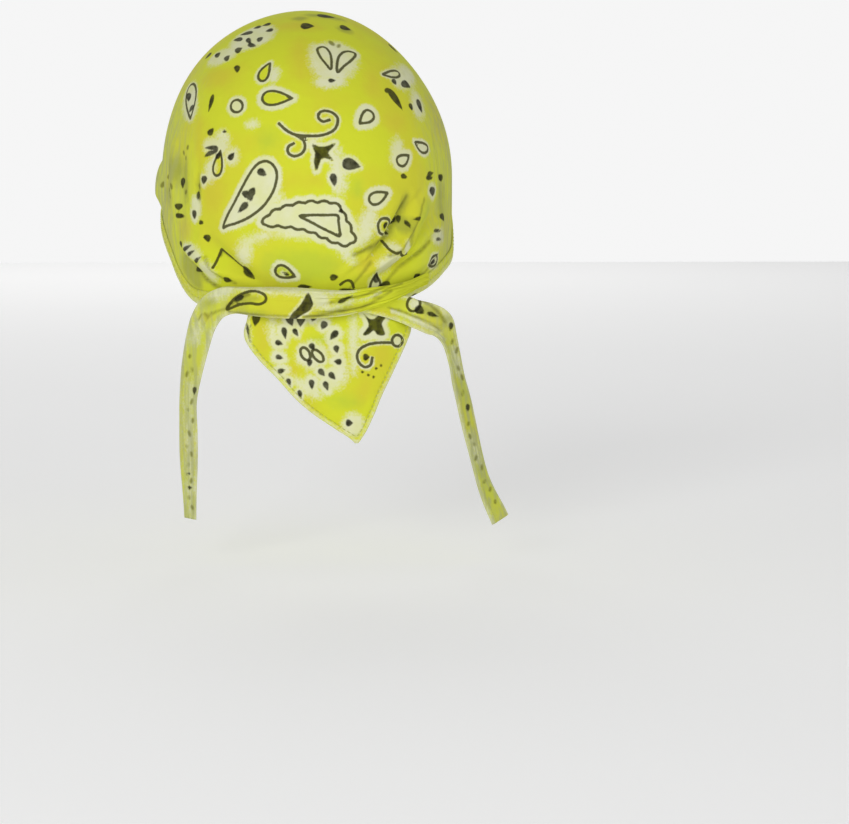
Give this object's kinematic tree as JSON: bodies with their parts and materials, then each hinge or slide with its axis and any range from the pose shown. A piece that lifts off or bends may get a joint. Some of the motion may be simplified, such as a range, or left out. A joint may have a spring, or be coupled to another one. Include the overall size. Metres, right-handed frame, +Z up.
{
  "type": "durag",
  "caption": "Cotton head wrap with a domed crown, a folded edge, two ties knotted at the nape and a pointed flap hanging below the knot.",
  "frame": {"origin": "inside of the crown's top, where it rests on the top of the head", "axes": "+Z up, -Y the way the wearer faces, +X to the wearer's left"},
  "size_m": [0.2009, 0.2037, 0.2878],
  "materials": {
    "crown": "matt printed cotton, yellow-green with dark outlines and off-white haloes",
    "edge_band": "matt printed cotton, folded and stitched",
    "back_flap": "matt printed cotton with a stitched hem",
    "over_tie": "matt printed cotton, folded into a strap",
    "under_tie": "matt printed cotton, folded into a strap"
  },
  "bodies": {
    "root": {"crown": "crown", "edge_band": "edge_band", "back_flap": "back_flap", "over_tie": "over_tie", "under_tie": "under_tie"}
  },
  "joints": []
}
